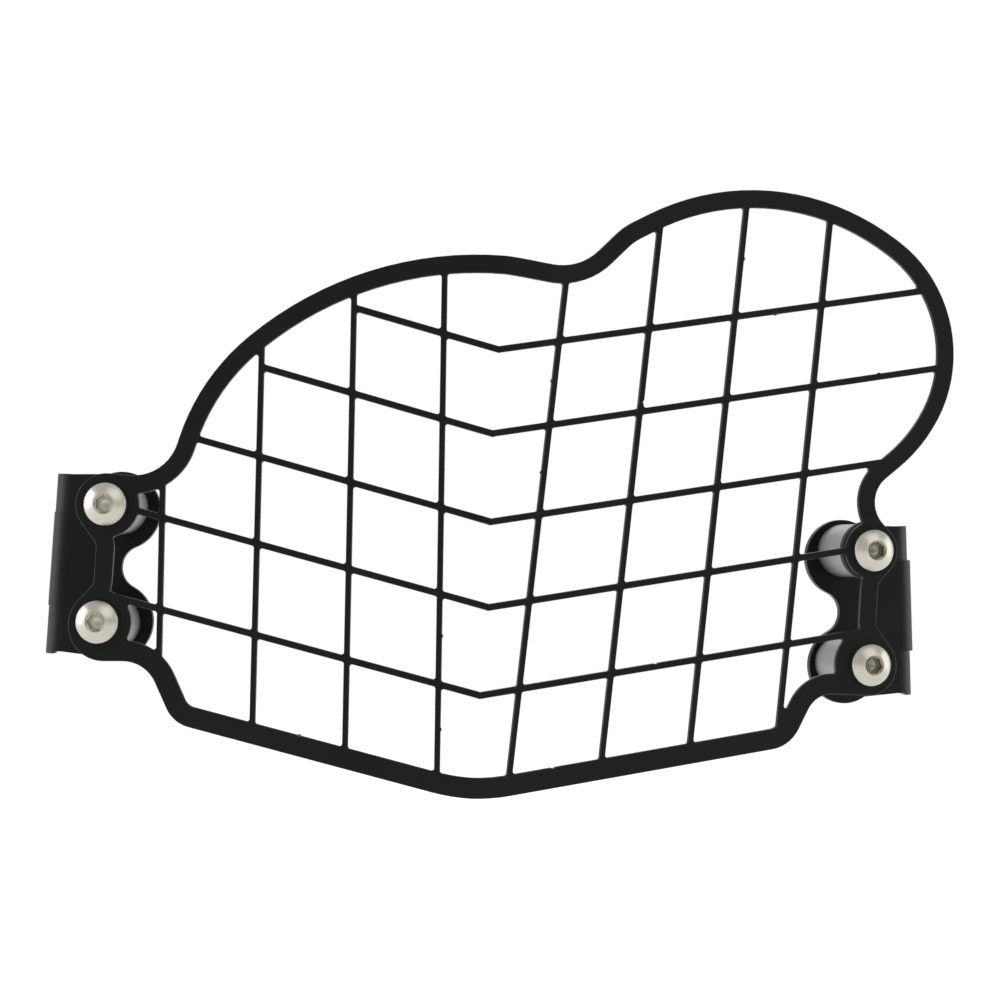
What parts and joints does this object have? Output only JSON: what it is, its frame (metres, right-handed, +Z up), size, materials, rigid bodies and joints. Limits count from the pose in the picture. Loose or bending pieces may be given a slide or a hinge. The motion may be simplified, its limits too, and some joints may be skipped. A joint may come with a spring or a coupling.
{
  "type": "motorcycle headlight guard",
  "caption": "Folded steel grille held on spacers in front of a motorcycle's headlight by a bent bracket on each side, asymmetric to follow an unequal twin lamp.",
  "frame": {"origin": "centre of the left bracket's side hole, midway through the sheet", "axes": "+X to the right as seen by someone facing the guard, +Y back towards the headlight, +Z up along the grille's fold"},
  "size_m": [0.299, 0.0966, 0.2062],
  "materials": {
    "powder_coat": "satin black powder coat on steel sheet",
    "stainless": "satin stainless steel",
    "spacer_aluminium": "turned and polished",
    "rubber": "matt black",
    "nylon": "off-white nylon"
  },
  "bodies": {
    "root": {"grille_plate": "powder_coat", "left_bracket": "powder_coat", "right_bracket": "powder_coat", "upper_left_screw": "stainless", "lower_left_screw": "stainless", "upper_right_screw": "stainless", "lower_right_screw": "stainless", "upper_left_black_washer": "rubber", "lower_left_black_washer": "rubber", "upper_right_black_washer": "rubber", "lower_right_black_washer": "rubber", "upper_left_spacer": "spacer_aluminium", "lower_left_spacer": "spacer_aluminium", "upper_right_spacer": "spacer_aluminium", "lower_right_spacer": "spacer_aluminium", "upper_left_flat_washer": "stainless", "lower_left_flat_washer": "stainless", "upper_right_flat_washer": "stainless", "lower_right_flat_washer": "stainless", "upper_left_lock_nut": "stainless", "lower_left_lock_nut": "stainless", "upper_right_lock_nut": "stainless", "lower_right_lock_nut": "stainless", "upper_left_nylon_ring": "nylon", "lower_left_nylon_ring": "nylon", "upper_right_nylon_ring": "nylon", "lower_right_nylon_ring": "nylon"}
  },
  "joints": []
}
